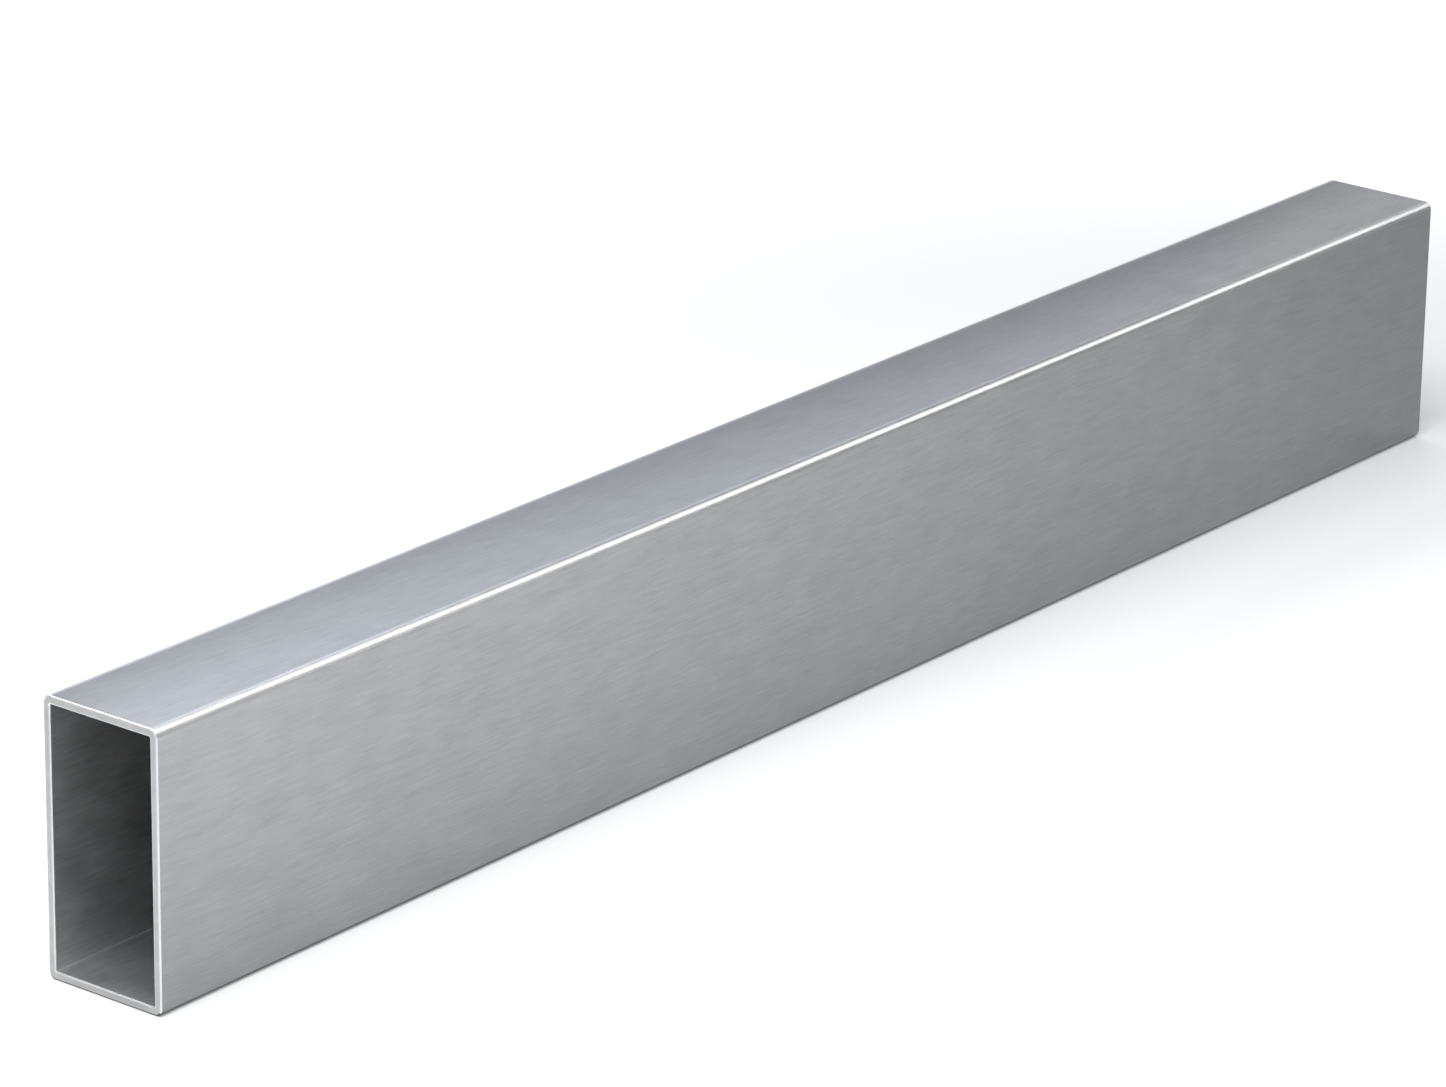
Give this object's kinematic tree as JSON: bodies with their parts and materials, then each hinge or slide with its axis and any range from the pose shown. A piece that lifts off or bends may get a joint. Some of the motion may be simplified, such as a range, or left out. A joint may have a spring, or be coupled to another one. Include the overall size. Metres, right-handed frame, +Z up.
{
  "type": "aluminium post",
  "caption": "Straight post of rectangular hollow aluminium section, with rounded long edges and square-sawn open ends, used upright or as a rail in a frame.",
  "frame": {"origin": "centre of the underside, on the floor, halfway along the length", "axes": "+X along the length, away from the end that the picture shows nearest; +Y across the width, away from the side that the picture shows; +Z up the height of the section"},
  "size_m": [0.75, 0.05, 0.1],
  "materials": {
    "aluminium": "brushed along the length"
  },
  "bodies": {
    "root": {"box_section": "aluminium"}
  },
  "joints": []
}
